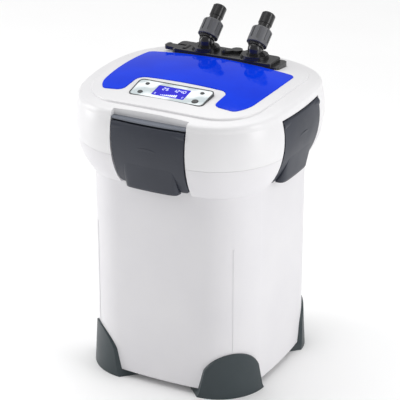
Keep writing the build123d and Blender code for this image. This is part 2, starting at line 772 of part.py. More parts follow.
# ---- tap stems, rings and hose nuts ----
lean = radians(nozzle_back)
side_turn = radians(nozzle_side)
along = (sin(lean) * sin(side_turn), sin(lean) * cos(side_turn), cos(lean))
tier_z = block_z1 + tier_h[0] + tier_h[1]
for x, name in zip(port_x, tap_names):
    nozzle = Plane(origin=(x, port_y, elbow_z), x_dir=(cos(side_turn), -sin(side_turn), 0), z_dir=along)
    with BuildPart() as tap_stem:
        with BuildSketch(Plane.XY.offset(stem_bottom)):
            with Locations((x, port_y)):
                Circle(stem_r)
        extrude(amount=elbow_z - stem_bottom)
        with BuildSketch(Plane.XY.offset(tier_z)):
            with Locations((x, port_y)):
                Circle(stem_flange_r)
        extrude(amount=stem_flange_t)
        with Locations((x, port_y, elbow_z)):
            Sphere(stem_r)
        with BuildSketch(nozzle):
            Circle(nozzle_r)
        extrude(amount=barb_s[1])
        with BuildSketch(nozzle.offset(nut_s[0] - 3.5)):
            Circle(nozzle_r + 2)
        extrude(amount=3.2)
        with BuildSketch(nozzle.offset(barb_s[0])):
            Circle(barb_r)
        extrude(amount=barb_s[1] - barb_s[0])
        chamfer(tap_stem.edges().filter_by(GeomType.CIRCLE).sort_by(Axis((0, 0, 0), along))[-1], 1.6)
        with BuildSketch(Plane.XY.offset(stem_bottom)):
            with Locations((x, port_y)):
                Circle(bore_r)
        extrude(amount=elbow_z - stem_bottom, mode=Mode.SUBTRACT)
        with Locations((x, port_y, elbow_z)):
            Sphere(bore_r, mode=Mode.SUBTRACT)
        with BuildSketch(nozzle):
            Circle(bore_r)
        extrude(amount=barb_s[1] + 1, mode=Mode.SUBTRACT)
        with BuildSketch(Plane.XY.offset(ring_z - ring_r - 0.1)):
            with Locations((x, port_y)):
                Circle(stem_r + 1)
                Circle(stem_r - 2 * ring_r, mode=Mode.SUBTRACT)
        extrude(amount=2 * ring_r + 0.2, mode=Mode.SUBTRACT)
    keep(tap_stem, "tap_stem_" + name)

    with BuildPart() as stem_ring:
        with Locations((x, port_y, ring_z)):
            Torus(stem_r - ring_r, ring_r)
    keep(stem_ring, "stem_ring_" + name)

    with BuildPart() as hose_nut:
        with BuildSketch(nozzle.offset(nut_s[0])):
            Circle(nut_r)
        extrude(amount=nut_s[1] - nut_s[0])
        chamfer(hose_nut.edges().filter_by(GeomType.CIRCLE).sort_by(Axis((0, 0, 0), along))[-1], 2)
        with BuildSketch(nozzle.offset(nut_s[0] + 4)):
            with PolarLocations(nut_r + 0.5, 10):
                Rectangle(3.2, 3.4)
        extrude(amount=nut_s[1] - nut_s[0], mode=Mode.SUBTRACT)
        with BuildSketch(nozzle.offset(nut_s[0])):
            Circle(nozzle_r + run_gap)
        extrude(amount=nut_s[1] - nut_s[0], mode=Mode.SUBTRACT)
    keep(hose_nut, "hose_nut_" + name)

# ---- water passages ----
for x, name in zip(port_x, ("outlet", "inlet")):
    with BuildPart() as riser:
        with BuildSketch(Plane.XY.offset(base_top)):
            with Locations((x, port_y)):
                Circle(riser_r)
                Circle(riser_bore, mode=Mode.SUBTRACT)
        extrude(amount=block_z0 - base_top)
    keep(riser, "riser_" + name)

with BuildPart() as intake_tube:
    with BuildSketch(Plane.XY.offset(tube_low)):
        with Locations((port_x[1], port_y)):
            Circle(riser_r)
            Circle(riser_bore, mode=Mode.SUBTRACT)
    extrude(amount=base_z0 - tube_low)
keep(intake_tube, "intake_tube")

# ---- pump ----
with BuildPart() as stator:
    with BuildSketch(Plane.XY.offset(base_top)):
        Circle(stator_r)
        Circle(can_r + 0.3, mode=Mode.SUBTRACT)
    extrude(amount=stator_h)
    fillet(stator.edges().filter_by(GeomType.CIRCLE).group_by(Axis.Z)[-1], 2)
keep(stator, "stator")

with BuildPart() as impeller:
    with BuildSketch(Plane.XY.offset(chamber_z[0] + 11)):
        Circle(blade_r)
    extrude(amount=1.6)
    with BuildSketch(Plane.XY.offset(chamber_z[0] + 2)):
        Circle(6)
        with PolarLocations(0, blade_n):
            with Locations((blade_r / 2 + 1, 0)):
                Rectangle(blade_r - 3, blade_t)
    extrude(amount=blade_h)
    with BuildSketch(Plane.XY.offset(chamber_z[0] + 12)):
        Circle(9)
    extrude(amount=rotor_z[0] - chamber_z[0] - 12)
    with BuildSketch(Plane.XY.offset(chamber_z[0])):
        Circle(shaft_r + run_gap)
    extrude(amount=40, mode=Mode.SUBTRACT)
keep(impeller, "impeller")

with BuildPart() as rotor_magnet:
    with BuildSketch(Plane.XY.offset(rotor_z[0])):
        Circle(rotor_r)
        Circle(shaft_r + run_gap, mode=Mode.SUBTRACT)
    extrude(amount=rotor_z[1] - rotor_z[0])
    top_rims = rotor_magnet.edges().filter_by(GeomType.CIRCLE).group_by(Axis.Z)[-1]
    chamfer(top_rims.sort_by(SortBy.RADIUS)[-1], 1.5)
keep(rotor_magnet, "rotor_magnet")

with BuildPart() as impeller_shaft:
    with BuildSketch(Plane.XY.offset(chamber_z[0] - bush_h + 1)):
        Circle(shaft_r)
    extrude(amount=well_top - chamber_z[0] + bush_h - 2)
keep(impeller_shaft, "impeller_shaft")

for name, z in (("shaft_bush_top", well_top - bush_h), ("shaft_bush_low", chamber_z[0] - bush_h)):
    with BuildPart() as bush:
        with BuildSketch(Plane.XY.offset(z)):
            Circle(bush_r)
            Circle(shaft_r, mode=Mode.SUBTRACT)
        extrude(amount=bush_h)
    keep(bush, name)

with BuildPart() as impeller_cover:
    with BuildSketch(Plane.XY.offset(chamber_z[0] - cover_t)):
        Circle(hub_r - 3)
        with PolarLocations(0, 3):
            SlotArc(CenterArc((0, 0), 16, 20, 80), 9, mode=Mode.SUBTRACT)
    extrude(amount=cover_t)
    with BuildSketch(Plane.XY.offset(chamber_z[0] - bush_h - 1)):
        Circle(bush_r + 2.5)
    extrude(amount=bush_h + 1)
    with BuildSketch(Plane.XY.offset(chamber_z[0] - bush_h)):
        Circle(bush_r)
    extrude(amount=bush_h, mode=Mode.SUBTRACT)
keep(impeller_cover, "impeller_cover")

# ---- media baskets and pads ----
for k, (name, pad_name) in enumerate(zip(basket_names, pad_names)):
    z = basket_z0 + k * basket_h
    with BuildPart() as basket:
        extrude(slab(basket_half, z), amount=basket_h)
        extrude(slab(basket_half - basket_t, z + basket_floor), amount=basket_h, mode=Mode.SUBTRACT)
        with BuildSketch(Plane.XY.offset(z)):
            with Locations((-31, 0)):
                with GridLocations(14.5, 92, 9, 2):
                    SlotOverall(74, 7, rotation=90)
            with Locations((port_x[1], port_y)):
                Circle(riser_r + 1)
        extrude(amount=basket_floor, mode=Mode.SUBTRACT)
    keep(basket, "basket_" + name)

    with BuildPart() as pad:
        extrude(slab(basket_half - basket_t - fit_gap, z + basket_floor), amount=pad_h)
        with BuildSketch(Plane.XY.offset(z + basket_floor)):
            with Locations((port_x[1], port_y)):
                Circle(riser_r + 1)
        extrude(amount=pad_h, mode=Mode.SUBTRACT)
    keep(pad, pad_name)
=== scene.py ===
# %% [markdown]
# # An aquarium canister filter, dressed over its CAD frame
#
# This filter stands in the cabinet under an aquarium. Water comes down one hose, passes
# through three baskets in the white canister, and the pump in the bulging head sends it
# back up the other hose. The CAD model already has every part in its place, so this
# lesson adds finishes, the readout of the lit display, finger hoods on the clips, light
# and a camera. We load the frame first, and keep its box, which later aims the side lights.

# %% Load the frame
import json
from math import cos, pi, radians, sin

import bmesh
import bpy
from mathutils import Matrix, Vector
from mathutils.bvhtree import BVHTree


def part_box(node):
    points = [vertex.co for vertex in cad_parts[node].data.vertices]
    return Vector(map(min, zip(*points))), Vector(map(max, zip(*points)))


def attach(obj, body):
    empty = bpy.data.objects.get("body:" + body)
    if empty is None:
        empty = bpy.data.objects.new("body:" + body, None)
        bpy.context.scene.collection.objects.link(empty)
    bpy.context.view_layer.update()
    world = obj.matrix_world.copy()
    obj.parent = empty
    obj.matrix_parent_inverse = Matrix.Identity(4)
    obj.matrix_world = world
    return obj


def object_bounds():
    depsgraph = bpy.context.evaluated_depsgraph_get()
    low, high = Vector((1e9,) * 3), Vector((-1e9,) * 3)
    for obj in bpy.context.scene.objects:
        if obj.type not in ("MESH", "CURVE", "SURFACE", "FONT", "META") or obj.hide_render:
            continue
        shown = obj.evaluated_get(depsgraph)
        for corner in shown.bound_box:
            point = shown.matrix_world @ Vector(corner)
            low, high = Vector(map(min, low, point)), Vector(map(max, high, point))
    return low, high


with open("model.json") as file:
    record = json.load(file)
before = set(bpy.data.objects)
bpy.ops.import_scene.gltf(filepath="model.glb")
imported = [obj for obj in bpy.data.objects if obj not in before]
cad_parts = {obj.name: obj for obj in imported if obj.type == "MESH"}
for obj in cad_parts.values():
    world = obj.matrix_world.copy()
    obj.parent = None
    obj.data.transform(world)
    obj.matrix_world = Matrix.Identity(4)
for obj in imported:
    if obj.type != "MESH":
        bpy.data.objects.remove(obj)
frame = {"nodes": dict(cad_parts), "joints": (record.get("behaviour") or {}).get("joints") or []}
cad_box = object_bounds()
nodes = frame["nodes"]
joints = {joint["name"]: joint for joint in frame["joints"]}
print("nodes:", len(nodes), "joints:", len(joints))

MM = 0.001

# %% [markdown]
# ## Finishes as small node trees
#
# Nearly everything here is injection-moulded plastic. Real mouldings are never one flat
# colour: the colour drifts a little with wall thickness, the gloss drifts with how the
# tool was polished, and a fine "orange peel" breaks up reflections. One helper makes a
# shader with fixed values on its own sockets, and three others add a soft cloud of
# variation to colour, to roughness and to relief. Object coordinates keep the pattern
# fixed to the piece when it moves.


# %% Helpers for finishes
def new_finish(name, colour, **sockets):
    """A material whose shader has these fixed values on its own sockets."""
    finish = bpy.data.materials.new(name)
    finish.use_nodes = True
    shader = finish.node_tree.nodes["Principled BSDF"]
    shader.inputs["Base Color"].default_value = (*colour, 1.0)
    for socket, value in sockets.items():
        shader.inputs[socket.replace("_", " ").title().replace("Ior", "IOR")].default_value = value
    return finish


def cloud(finish, scale, detail=3.0, stretch=(1.0, 1.0, 1.0), seed=0.0):
    """Soft noise over the piece, from 0 to 1. The scale counts features per metre."""
    tree = finish.node_tree
    place = tree.nodes.new("ShaderNodeTexCoord")
    shift = tree.nodes.new("ShaderNodeMapping")
    shift.inputs["Scale"].default_value = stretch
    shift.inputs["Location"].default_value = (seed, seed * 0.7, seed * 0.4)
    noise = tree.nodes.new("ShaderNodeTexNoise")
    noise.inputs["Scale"].default_value = scale
    noise.inputs["Detail"].default_value = detail
    tree.links.new(place.outputs["Object"], shift.inputs["Vector"])
    tree.links.new(shift.outputs["Vector"], noise.inputs["Vector"])
    return noise.outputs["Fac"]


def tint(finish, pattern, low, high, start=0.3, stop=0.7):
    """Colour between low and high along the pattern."""
    tree = finish.node_tree
    ramp = tree.nodes.new("ShaderNodeValToRGB")
    ramp.color_ramp.elements[0].position = start
    ramp.color_ramp.elements[1].position = stop
    ramp.color_ramp.elements[0].color = (*low, 1.0)
    ramp.color_ramp.elements[1].color = (*high, 1.0)
    tree.links.new(pattern, ramp.inputs["Fac"])
    tree.links.new(ramp.outputs["Color"], tree.nodes["Principled BSDF"].inputs["Base Color"])
    return ramp.outputs["Color"]


def vary_gloss(finish, pattern, low, high):
    """Roughness between low and high along the pattern."""
    tree = finish.node_tree
    reach = tree.nodes.new("ShaderNodeMapRange")
    reach.inputs["From Min"].default_value = 0.3
    reach.inputs["From Max"].default_value = 0.7
    reach.inputs["To Min"].default_value = low
    reach.inputs["To Max"].default_value = high
    tree.links.new(pattern, reach.inputs["Value"])
    tree.links.new(reach.outputs["Result"], tree.nodes["Principled BSDF"].inputs["Roughness"])


def relief(finish, pattern, depth, strength=0.3):
    """Fine surface relief, depth in metres."""
    tree = finish.node_tree
    bump = tree.nodes.new("ShaderNodeBump")
    bump.inputs["Strength"].default_value = strength
    bump.inputs["Distance"].default_value = depth
    tree.links.new(pattern, bump.inputs["Height"])
    tree.links.new(bump.outputs["Normal"], tree.nodes["Principled BSDF"].inputs["Normal"])


def moulded(name, low, high, gloss, grain=900.0, depth=0.00004, seed=0.0, **sockets):
    """Moulded plastic: drifting colour, drifting gloss and fine orange peel."""
    finish = new_finish(name, low, **sockets)
    drift = cloud(finish, 14.0, seed=seed)
    tint(finish, drift, low, high)
    vary_gloss(finish, cloud(finish, 40.0, seed=seed + 3), *gloss)
    relief(finish, cloud(finish, grain, seed=seed + 5), depth)
    return finish


# %% [markdown]
# ## The plastics
#
# The canister is satin white with a cool cast, the head is the same plastic from a
# better polished tool, and the clips and feet are slate grey with a fine texture. The
# saddle-shaped cover is deep blue and the glossiest of them. The head and the taps have a
# thin clear coat, which lays a sharper reflection over the soft one without a second
# material.

# %% Plastic finishes
canister_white = moulded("canister_white", (0.76, 0.75, 0.775), (0.79, 0.78, 0.80), (0.38, 0.46))
head_white = moulded("head_white", (0.79, 0.785, 0.80), (0.82, 0.815, 0.825), (0.28, 0.32),
                     grain=240.0, depth=0.000002, seed=2.0, coat_weight=0.15, coat_roughness=0.2)
inner_white = moulded("inner_white", (0.70, 0.71, 0.72), (0.75, 0.76, 0.77), (0.42, 0.52), seed=4.0)
slate_grey = moulded("slate_grey", (0.022, 0.026, 0.040), (0.029, 0.034, 0.050), (0.42, 0.50),
                     grain=1600.0, depth=0.00006, seed=6.0)
# Painted light: the flange's grey is the clips' slate plastic made lighter, standing in for light falling
# on its top face.
flange_painted_lit_grey = moulded("flange_painted_lit_grey", (0.15, 0.165, 0.20), (0.17, 0.185, 0.22), (0.40, 0.48),
                      grain=1600.0, depth=0.00006, seed=7.0)
foot_grey = moulded("foot_grey", (0.024, 0.036, 0.042), (0.032, 0.046, 0.052), (0.38, 0.46),
                    grain=1600.0, depth=0.00006, seed=8.0)
cover_blue = moulded("cover_blue", (0.001, 0.034, 0.66), (0.002, 0.048, 0.80), (0.06, 0.10),
                     depth=0.000003, seed=10.0, specular_ior_level=0.08)
tap_black = moulded("tap_black", (0.010, 0.010, 0.011), (0.016, 0.016, 0.017), (0.20, 0.32),
                    seed=12.0, coat_weight=0.2, coat_roughness=0.15)
nut_grey = moulded("nut_grey", (0.100, 0.102, 0.108), (0.130, 0.132, 0.138), (0.34, 0.46),
                   grain=1300.0, depth=0.00008, seed=14.0)
trim_black = moulded("trim_black", (0.018, 0.021, 0.022), (0.026, 0.029, 0.030), (0.30, 0.38), seed=16.0)
print("plastic finishes:", 10)

# %% [markdown]
# ## Metals, rubber and the soft media
#
# The hinge pins are drawn steel, so their grain runs along the length: the same cloud,
# stretched, gives that. Rubber is dull. The foam pads are open-celled, which a Voronoi
# pattern shows well, and the filter wool is a tangle of pale fibres. Their darker pores
# are painted shade.

# %% Other finishes
steel = new_finish("drawn_steel", (0.62, 0.63, 0.64), metallic=1.0, roughness=0.3)
tint(steel, cloud(steel, 300.0, stretch=(0.1, 1.0, 1.0)), (0.52, 0.53, 0.54), (0.68, 0.69, 0.70))
vary_gloss(steel, cloud(steel, 500.0, stretch=(0.1, 1.0, 1.0), seed=1.0), 0.22, 0.38)
rubber = moulded("seal_rubber", (0.10, 0.105, 0.11), (0.13, 0.135, 0.14), (0.6, 0.75), seed=18.0)
ceramic = moulded("shaft_ceramic", (0.80, 0.79, 0.75), (0.84, 0.83, 0.80), (0.16, 0.24), seed=20.0)
magnet = moulded("magnet_ferrite", (0.035, 0.035, 0.038), (0.055, 0.055, 0.058), (0.45, 0.6), seed=22.0)
board_green = moulded("board_green", (0.010, 0.075, 0.030), (0.016, 0.100, 0.040), (0.28, 0.4), seed=24.0)


def pad_finish(name, painted_pore_shade, light, cell):
    """Open-celled foam or wool: pores coloured darker than the struts, as painted shade."""
    finish = new_finish(name, painted_pore_shade, roughness=0.95)
    tree = finish.node_tree
    place = tree.nodes.new("ShaderNodeTexCoord")
    pores = tree.nodes.new("ShaderNodeTexVoronoi")
    pores.inputs["Scale"].default_value = cell
    tree.links.new(place.outputs["Object"], pores.inputs["Vector"])
    # Painted shade: the darker end of this ramp stands in for the shade inside the pores.
    tint(finish, pores.outputs["Distance"], light, painted_pore_shade, 0.1, 0.6)
    relief(finish, pores.outputs["Distance"], 0.0006, 0.6)
    return finish


foam_black = pad_finish("foam_black", (0.006, 0.006, 0.007), (0.045, 0.045, 0.05), 420.0)
foam_grey = pad_finish("foam_grey", (0.10, 0.105, 0.11), (0.32, 0.33, 0.34), 700.0)
wool_white = pad_finish("wool_white", (0.62, 0.62, 0.60), (0.88, 0.88, 0.86), 1500.0)
print("other finishes:", 8)

# %% [markdown]
# ## The control panel
#
# The panel is a silver film printed with pale brushed streaks that sweep across it, and
# the display is a backlit blue window. A wave pattern bent by noise gives streaks that
# look swept by hand. The window glows a little by itself, so it keeps its colour where
# the studio light is weak.

# %% Panel finishes
panel_silver = new_finish("panel_silver", (0.62, 0.68, 0.70), metallic=0.15, roughness=0.28,
                          coat_weight=0.3, coat_roughness=0.08)
streaks = panel_silver.node_tree.nodes.new("ShaderNodeTexWave")
streaks.inputs["Scale"].default_value = 9.0
streaks.inputs["Distortion"].default_value = 7.0
streaks.inputs["Detail"].default_value = 3.0
streaks.inputs["Detail Scale"].default_value = 1.6
spot = panel_silver.node_tree.nodes.new("ShaderNodeTexCoord")
turn = panel_silver.node_tree.nodes.new("ShaderNodeMapping")
turn.inputs["Rotation"].default_value = (0.0, 0.0, radians(62))
panel_silver.node_tree.links.new(spot.outputs["Object"], turn.inputs["Vector"])
panel_silver.node_tree.links.new(turn.outputs["Vector"], streaks.inputs["Vector"])
tint(panel_silver, streaks.outputs["Fac"], (0.48, 0.55, 0.57), (0.80, 0.85, 0.87), 0.15, 0.6)

lcd_blue = moulded("lcd_blue", (0.010, 0.006, 0.42), (0.014, 0.009, 0.48), (0.20, 0.26),
                   depth=0.000004, seed=26.0, specular_ior_level=0.1,
                   emission_color=(0.01, 0.005, 0.8, 1.0), emission_strength=0.22)
lcd_light = moulded("lcd_light", (0.62, 0.66, 0.95), (0.70, 0.74, 0.98), (0.3, 0.4), seed=28.0,
                    emission_color=(0.75, 0.80, 1.0, 1.0), emission_strength=0.5)
print("panel finishes:", 3)

# %% [markdown]
# ## Dress the CAD nodes
#
# Each CAD node keeps its mesh and only gets a finish. A table from finish to name
# stems keeps this readable: a node takes the first stem that its name starts with.

# %% Finish of each node
dressing = [
    (canister_white, ["canister"]),
    (head_white, ["head_housing"]),
    (inner_white, ["head_base", "basket", "impeller_cover"]),
    (ceramic, ["impeller_shaft"]),
    (head_white, ["impeller"]),
    (steel, ["clip_pin", "lock_pin", "cover_screws"]),
    (slate_grey, ["clip"]),
    (foot_grey, ["foot"]),
    (cover_blue, ["blue_cover"]),
    (nut_grey, ["hose_nut"]),
    (tap_black, ["tap", "lock_lever", "flow_lever", "riser", "intake", "cord_gland"]),
    (rubber, ["main_seal", "stem_ring", "shaft_bush"]),
    (panel_silver, ["display_faceplate"]),
    (trim_black, ["panel_border", "key", "stator"]),
    (lcd_blue, ["lcd_window"]),
    (board_green, ["control_board"]),
    (magnet, ["rotor_magnet"]),
    (foam_black, ["foam_coarse"]),
    (foam_grey, ["foam_medium"]),
    (wool_white, ["wool_fine"]),
]
for name, node in nodes.items():
    finish = next(f for f, stems in dressing if any(name.startswith(stem) for stem in stems))
    node.data.materials.clear()
    node.data.materials.append(finish)
print("dressed:", len(nodes))

# %% [markdown]
# ## The display readout
#
# The backlit window shows two numbers, a zero in each lower corner and a row of rising
# bars. They lie on a tilted panel, so we first need the panel's own frame. The keys press
# straight into the panel: their joint axis is the panel's inward normal, and the window's
# mesh tells how high its face is along it.

# %% The panel's frame
inward = Vector(joints["key_top_left_press"]["axis"]).normalized()
outward = -inward
across = Vector((1.0, 0.0, 0.0))
upward = outward.cross(across).normalized()
window = [vertex.co for vertex in nodes["lcd_window"].data.vertices]
window_face = max(co.dot(outward) for co in window)
low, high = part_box("lcd_window")
window_middle = (low + high) / 2
window_middle += outward * (window_face - window_middle.dot(outward))
to_panel = Matrix((
    (across.x, upward.x, outward.x, window_middle.x),
    (across.y, upward.y, outward.y, window_middle.y),
    (across.z, upward.z, outward.z, window_middle.z),
    (0.0, 0.0, 0.0, 1.0),
))
window_wide = high.x - low.x
window_tall = max(co.dot(upward) for co in window) - min(co.dot(upward) for co in window)
print("window:", round(window_wide / MM, 1), "x", round(window_tall / MM, 1), "mm")


# %% Helpers for new pieces
CLEAR = 0.00002  # height of the marks over the window


def add_piece(name, mesh, finish, body):
    """Link a finished mesh as a piece that rides on a body."""
    piece = bpy.data.objects.new(name, mesh)
    bpy.context.scene.collection.objects.link(piece)
    if finish is not None:
        mesh.materials.clear()
        mesh.materials.append(finish)
    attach(piece, body)
    return piece


def closed_mesh(name, shape, smooth):
    """A plain mesh from a finished shape, its normals outward."""
    bmesh.ops.recalc_face_normals(shape, faces=shape.faces)
    mesh = bpy.data.meshes.new(name)
    shape.to_mesh(mesh)
    shape.free()
    mesh.polygons.foreach_set("use_smooth", [smooth] * len(mesh.polygons))
    return mesh


def flat_marks(name, outlines, height):
    """Thin raised marks from closed outlines on the window, in millimetres."""
    shape = bmesh.new()
    for outline in outlines:
        base = shape.faces.new([shape.verts.new((x * MM, y * MM, CLEAR)) for x, y in outline])
        top = bmesh.ops.extrude_face_region(shape, geom=[base])
        lifted = [item for item in top["geom"] if isinstance(item, bmesh.types.BMVert)]
        bmesh.ops.translate(shape, verts=lifted, vec=(0.0, 0.0, height * MM))
    bmesh.ops.transform(shape, matrix=to_panel, verts=shape.verts)
    return closed_mesh(name, shape, False)


# %% [markdown]
# Digits on such a window are seven straight segments. Each segment is a slim hexagon,
# and each digit is the list of the segments it lights, which is less work than seven
# drawings and gives the display its own look.

# %% Seven-segment digits
LIT = {"0": "abcdef", "1": "bc", "2": "abged", "3": "abgcd", "4": "fgbc", "5": "afgcd",
       "6": "afgedc", "7": "abc", "8": "abcdefg", "9": "abcdfg"}
SEGMENT_GAP = 0.15  # taken off each end of a segment


def segment(x, y, half, thick, upright):
    """A slim hexagon centred on x, y."""
    tip = thick / 2
    points = [(-half, 0), (-half + tip, tip), (half - tip, tip), (half, 0),
              (half - tip, -tip), (-half + tip, -tip)]
    return [(x + v, y + u) if upright else (x + u, y + v) for u, v in points]


def digit(sign, x, y, wide, tall, thick):
    """Outlines of the lit segments of one digit, its middle at x, y."""
    h, v = wide / 2, tall / 4
    spots = {"a": (0, tall / 2, False), "g": (0, 0, False), "d": (0, -tall / 2, False),
             "f": (-h, v, True), "b": (h, v, True), "e": (-h, -v, True), "c": (h, -v, True)}
    made = []
    for letter in LIT[sign]:
        dx, dy, upright = spots[letter]
        made.append(segment(x + dx, y + dy, (v if upright else h) - SEGMENT_GAP, thick, upright))
    return made


DIGIT_PITCH, NUMBER_Y, MARK_HEIGHT = 4.6, 5.2, 0.08
LARGE = {"wide": 2.8, "tall": 5.2, "thick": 0.8}
SMALL = {"wide": 1.6, "tall": 3.0, "thick": 0.5}
readout = []
for number, first_x in (("25", -12.5), ("1240", 2.5)):
    for place, sign in enumerate(number):
        readout += digit(sign, first_x + DIGIT_PITCH * place, NUMBER_Y, **LARGE)
for corner_x in (-19.0, 19.0):
    readout += digit("0", corner_x, -6.8, **SMALL)
add_piece("lcd_digits", flat_marks("lcd_digits", readout, MARK_HEIGHT), lcd_light, "housing")
print("lit segments:", len(readout))

# %% [markdown]
# ## The bar row, with Geometry Nodes
#
# The row of bars shows the pump's output. Every bar is the same block, one pitch further
# and one step taller than the last, so it follows a rule: a mesh line gives the places,
# the index gives the height, and one cube is instanced on all of them. The count, pitch
# and growth are named inputs of the tree, so another display needs only other numbers.

# %% A tree for rising bars
bars = bpy.data.node_groups.new("rising_bars", "GeometryNodeTree")
bars.interface.new_socket("Geometry", in_out="OUTPUT", socket_type="NodeSocketGeometry")
bar_inputs = {}
for label, kind in (("Bars", "NodeSocketInt"), ("Pitch", "NodeSocketFloat"),
                    ("Width", "NodeSocketFloat"), ("First Height", "NodeSocketFloat"),
                    ("Growth", "NodeSocketFloat"), ("Finish", "NodeSocketMaterial")):
    bar_inputs[label] = bars.interface.new_socket(label, in_out="INPUT", socket_type=kind).identifier


def bar_node(kind, **values):
    """A node of the tree, with values on its named sockets."""
    made = bars.nodes.new(kind)
    for socket, value in values.items():
        made.inputs[socket].default_value = value
    return made


given = bar_node("NodeGroupInput")
result = bar_node("NodeGroupOutput")
places = bar_node("GeometryNodeMeshLine")
step = bar_node("ShaderNodeCombineXYZ")
index = bar_node("GeometryNodeInputIndex")
taller = bar_node("ShaderNodeMath")
taller.operation = "MULTIPLY_ADD"
size = bar_node("ShaderNodeCombineXYZ", Z=MARK_HEIGHT * MM)
block = bar_node("GeometryNodeMeshCube")
lift = bar_node("GeometryNodeTransform", Translation=(0.0, 0.5, 0.5))
copies = bar_node("GeometryNodeInstanceOnPoints")
plain = bar_node("GeometryNodeRealizeInstances")
coat = bar_node("GeometryNodeSetMaterial")
link = bars.links.new
link(given.outputs["Bars"], places.inputs["Count"])
link(given.outputs["Pitch"], step.inputs["X"])
link(step.outputs[0], places.inputs["Offset"])
link(index.outputs[0], taller.inputs[0])
link(given.outputs["Growth"], taller.inputs[1])
link(given.outputs["First Height"], taller.inputs[2])
link(given.outputs["Width"], size.inputs["X"])
link(taller.outputs[0], size.inputs["Y"])
link(block.outputs["Mesh"], lift.inputs["Geometry"])
link(places.outputs["Mesh"], copies.inputs["Points"])
link(lift.outputs["Geometry"], copies.inputs["Instance"])
link(size.outputs[0], copies.inputs["Scale"])
link(copies.outputs["Instances"], plain.inputs["Geometry"])
link(plain.outputs["Geometry"], coat.inputs["Geometry"])
link(given.outputs["Finish"], coat.inputs["Material"])
link(coat.outputs["Geometry"], result.inputs["Geometry"])
print("bar tree nodes:", len(bars.nodes))


# %% Make the bars
def grown(name, tree, identifiers, values):
    """The plain mesh that a geometry tree makes from these inputs."""
    seed_mesh = bpy.data.meshes.new(name + "_seed")
    maker = bpy.data.objects.new(name + "_maker", seed_mesh)
    bpy.context.scene.collection.objects.link(maker)
    modifier = maker.modifiers.new("tree", "NODES")
    modifier.node_group = tree
    for label, value in values.items():
        modifier[identifiers[label]] = value
    bpy.context.view_layer.update()
    seen = maker.evaluated_get(bpy.context.evaluated_depsgraph_get())
    mesh = bpy.data.meshes.new_from_object(seen)
    maker.modifiers.clear()
    bpy.data.objects.remove(maker)
    mesh.name = name
    return mesh


bar_row = grown("lcd_bars", bars, bar_inputs, {
    "Bars": 9, "Pitch": 2.5 * MM, "Width": 1.8 * MM, "First Height": 1.0 * MM,
    "Growth": 0.55 * MM, "Finish": lcd_light})
bar_row.transform(Matrix.Translation((-10.0 * MM, -9.3 * MM, CLEAR)))
bar_row.transform(to_panel)
add_piece("lcd_bars", bar_row, None, "housing")
print("bar row faces:", len(bar_row.polygons))

# %% [markdown]
# ## Finger hoods on the clips
#
# Each clip carries an arched hood that stands out at its foot, so a finger can pull it
# open. Its front is nearly a plane: it starts by the clip's fullest height and drops
# almost straight down while the clip curves back in under it. We cast rays onto the clip
# to learn where its face is, and raise the hood from there.

# %% Where the clip's face is
BOW = 0.9  # a side stands back by x squared over this, in metres


def skin_of(name):
    """The CAD node's surface, ready for rays."""
    mesh = nodes[name].data
    return BVHTree.FromPolygons([v.co for v in mesh.vertices], [tuple(p.vertices) for p in mesh.polygons])


def face_at(skin, outward, along, x, z):
    """How far from the middle axis the face is, seen from outside."""
    start = outward * 0.3 + along * x + Vector((0, 0, z))
    hit = skin.ray_cast(start, -outward)[0]
    return hit.dot(outward)


# %% [markdown]
# A hood is two grids of points, its outside and its inside, joined round their rim. Each
# row is as wide as an arch at its height. Across a row the surface rises steeply from
# the clip's face, is bowed like the clip in the middle, and falls steeply again. Rows
# crowd towards the top of the arch and points towards its edges, where it curves most.

# %% The hood's shape
ROWS, COLUMNS = 26, 28
HOOD_HALF, HOOD_TALL, HOOD_SKIN = 37.0 * MM, 60.0 * MM, 1.6 * MM
HOOD_LEAN, HOOD_STEP = 10.0 * MM, 0.5 * MM  # stands out at the foot, and at the top
HOOD_FOOT, PLATE_FOOT = 0.4 * MM, 2.3 * MM  # above the clip's lowest point
ARCH, SHOULDER = 2.5, 8  # roundness of the arch, and squareness of a row's ends


def hood_grid(shape, clip, outward, inset, sink):
    """Rows of points over the clip's foot, inset from the hood's outside."""
    along = Vector((0, 0, 1)).cross(outward)
    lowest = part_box(clip)[0].z
    foot_z = lowest + HOOD_FOOT
    skin = skin_of(clip)
    crown = face_at(skin, outward, along, 0.0, foot_z + HOOD_TALL)
    grid = []
    for row in range(ROWS + 1):
        share = sin(row / ROWS * pi / 2)
        z = foot_z + share * HOOD_TALL
        half = HOOD_HALF * (1 - share ** ARCH) ** (1 / ARCH)
        edge = face_at(skin, outward, along, half, max(z, lowest + PLATE_FOOT)) - sink
        front = crown + HOOD_STEP - (HOOD_LEAN + HOOD_STEP) * (1 - share) - inset
        line = []
        for column in range(COLUMNS + 1):
            sideways = sin((column / COLUMNS - 0.5) * pi)
            x = max(half - inset, 0.0) * sideways
            rise = (1 - abs(sideways) ** SHOULDER) ** (2 / SHOULDER)
            depth = edge + max(front - x * x / BOW - edge, 0.0) * rise
            line.append(shape.verts.new(outward * depth + along * x + Vector((0, 0, z))))
        grid.append(line)
    return grid


def hood_mesh(name, clip, outward):
    """An arched shell on a clip, open below, its two skins joined round the rim."""
    shape = bmesh.new()
    grids = [hood_grid(shape, clip, outward, inset, sink)
             for inset, sink in ((0.0, 0.3 * MM), (HOOD_SKIN, 0.9 * MM))]
    rims = []
    for grid in grids:
        for row in range(ROWS):
            for column in range(COLUMNS):
                shape.faces.new((grid[row][column], grid[row][column + 1],
                                 grid[row + 1][column + 1], grid[row + 1][column]))
        left = [grid[row][0] for row in range(ROWS, 0, -1)]
        right = [grid[row][-1] for row in range(1, ROWS + 1)]
        rims.append(left + grid[0] + right)
    outer, inner = rims
    for k in range(len(outer) - 1):
        shape.faces.new((outer[k], outer[k + 1], inner[k + 1], inner[k]))
    bmesh.ops.remove_doubles(shape, verts=shape.verts, dist=0.01 * MM)
    return closed_mesh(name, shape, True)


